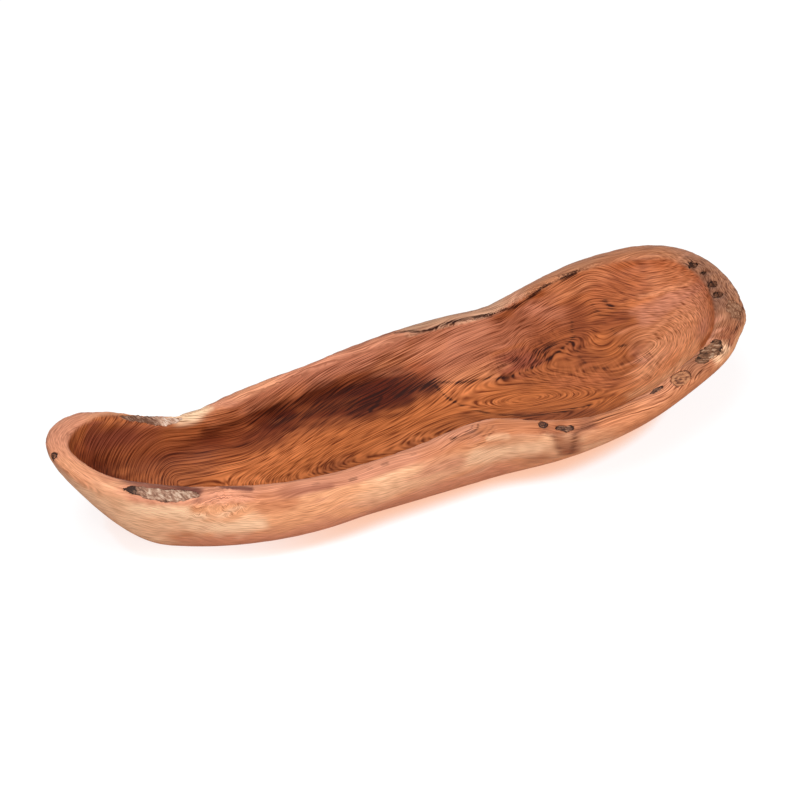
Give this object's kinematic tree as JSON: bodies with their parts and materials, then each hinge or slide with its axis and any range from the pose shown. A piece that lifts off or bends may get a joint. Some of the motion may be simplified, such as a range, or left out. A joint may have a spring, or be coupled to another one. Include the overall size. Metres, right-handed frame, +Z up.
{
  "type": "live-edge wooden bowl",
  "caption": "Long hand-carved root-wood bowl: a narrow deep trough that rises to a raked prow and opens into a wide shallow scoop, with a live-edge rim and bark inclusions",
  "frame": {"origin": "middle of the bowl's outline, on the surface that it stands on", "axes": "+X along the bowl from the prow to the scoop, +Y to the back, +Z up"},
  "size_m": [0.5664, 0.2006, 0.0852],
  "materials": {
    "wood": "carved, sanded and oiled to a satin sheen, reddish heartwood inside and pale sapwood outside",
    "knot": "dead knot, dark end grain, matt",
    "healed_knot": "healed knot with dark rings, satin",
    "weathered_bark": "grey weathered bark, rough",
    "pale_bark": "pale weathered bark, rough",
    "dark_bark": "dark and grey bark, cracked and rough",
    "fibrous_bark": "fibrous bark, rough",
    "crater_bark": "dark rotted bark in a pit, rough",
    "crack_filler": "dark wood dust in resin, sanded flush"
  },
  "bodies": {
    "root": {"bowl_body": "wood", "prow_knot": "knot", "front_bark_pocket": "weathered_bark", "notch_bark": "pale_bark", "rim_knot": "knot", "crack_filler": "crack_filler", "slit_inclusion": "crack_filler", "eye_knot": "healed_knot", "front_bark_patch": "dark_bark", "end_bark_patch": "fibrous_bark", "end_bark_crater_1": "crater_bark", "end_bark_crater_2": "crater_bark", "end_bark_crater_3": "crater_bark", "end_bark_crater_4": "crater_bark"}
  },
  "joints": []
}
